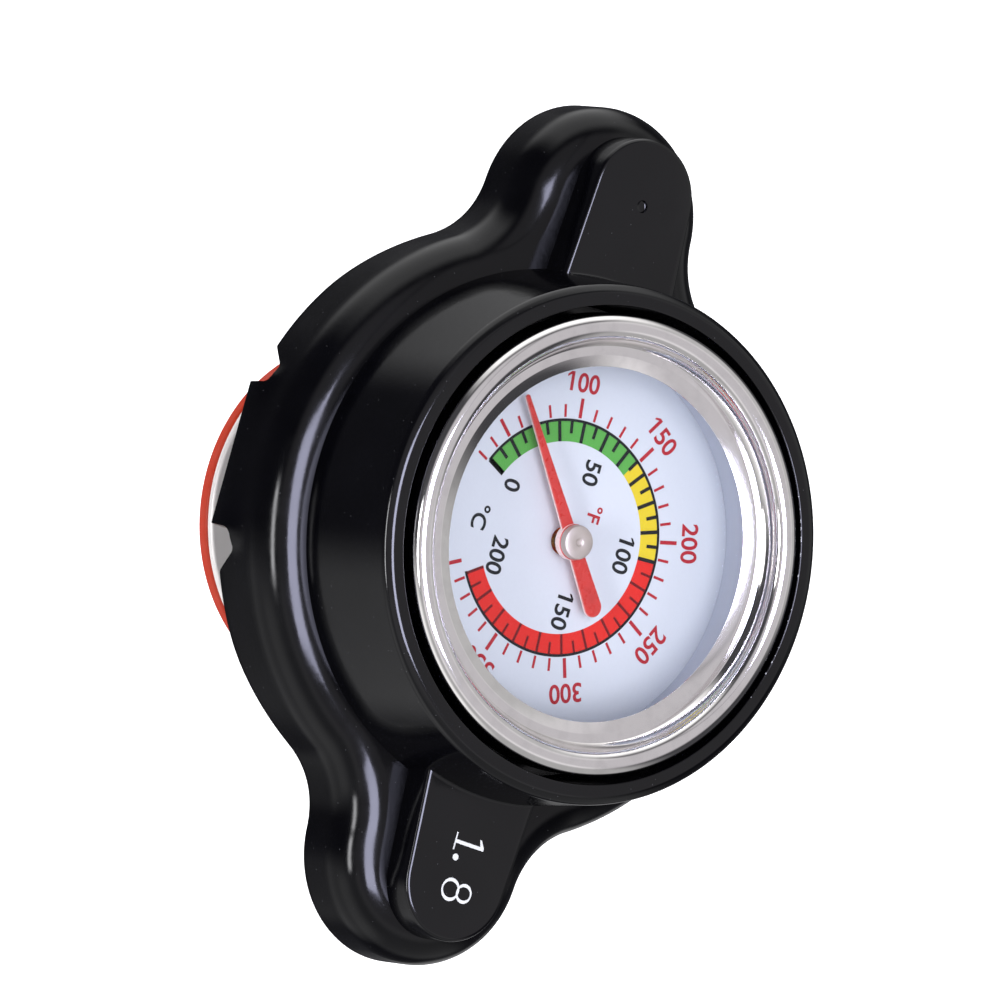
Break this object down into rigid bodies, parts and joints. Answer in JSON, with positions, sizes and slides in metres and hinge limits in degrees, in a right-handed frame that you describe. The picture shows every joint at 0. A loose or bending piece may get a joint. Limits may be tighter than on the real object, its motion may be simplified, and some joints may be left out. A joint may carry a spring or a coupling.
{
  "type": "radiator cap thermometer",
  "caption": "Winged radiator pressure cap with a round dial thermometer in its top, bayonet ears, sprung pressure and vacuum valves and a probe.",
  "frame": {"origin": "centre of the neck seat, on the axis, at the underside of the upper gasket", "axes": "+Z out of the dial along the cap's axis, X along the two wings, bayonet ears at +Y and -Y"},
  "size_m": [0.0694, 0.0484, 0.0453],
  "materials": {
    "black_enamel": "satin black stoving enamel on pressed steel",
    "black_housing": "satin black coat on cast aluminium",
    "bezel_steel": "polished stainless",
    "lens_glass": "clear float glass",
    "dial_white": "matt printed white",
    "spacer_white": "moulded",
    "pointer_red": "enamel",
    "hub_steel": "turned",
    "black_rubber": "moulded",
    "orange_silicone": "moulded",
    "bright_steel": "rolled sheet",
    "spring_steel": "drawn wire",
    "brass": "turned"
  },
  "bodies": {
    "cap": {"cap_shell": "black_enamel", "gauge_housing": "black_housing", "wing_screws": "bright_steel", "gauge_case": "bright_steel", "case_seal": "black_rubber", "bezel_ring": "bezel_steel", "lens": "lens_glass", "lens_gasket": "black_rubber", "spacer_ring": "spacer_white", "dial_plate": "dial_white", "spindle_bush": "brass", "stem_collar": "brass", "probe_stem": "bright_steel", "probe_tip": "bright_steel", "bimetal_coil": "spring_steel", "stem_nut": "brass", "spring_disc": "bright_steel", "upper_gasket": "black_rubber", "cage_clip": "spring_steel"},
    "needle": {"pointer": "pointer_red", "pointer_hub": "hub_steel", "spindle": "bright_steel"},
    "cage": {"spring_cage": "bright_steel", "main_spring": "spring_steel"},
    "pressure_valve": {"valve_plate": "bright_steel", "valve_hub": "bright_steel", "lower_gasket": "orange_silicone", "gasket_retainer": "bright_steel", "vacuum_spring": "spring_steel"},
    "vacuum_valve": {"vacuum_valve": "brass", "vacuum_seal": "black_rubber", "vacuum_clip": "spring_steel"}
  },
  "joints": [
    {"name": "needle_turn", "type": "hinge", "parent": "cap", "child": "needle", "pos_m": [0, 0, 0.0087], "axis": [0, 0, 1], "range_deg": [-275.5, 26.8], "stiffness_Nm_per_rad": 0.00002},
    {"name": "cage_swivel", "type": "hinge", "parent": "cap", "child": "cage", "pos_m": [0, 0, 0], "axis": [0, 0, 1], "continuous": true},
    {"name": "pressure_lift", "type": "slide", "parent": "cage", "child": "pressure_valve", "axis": [0, 0, 1], "range_m": [0, 0.0035], "stiffness_N_per_m": 2000, "springref_m": -0.001, "deforming": ["main_spring"]},
    {"name": "vacuum_drop", "type": "slide", "parent": "pressure_valve", "child": "vacuum_valve", "axis": [0, 0, -1], "range_m": [0, 0.002], "stiffness_N_per_m": 100, "springref_m": -0.001, "deforming": ["vacuum_spring"]}
  ]
}
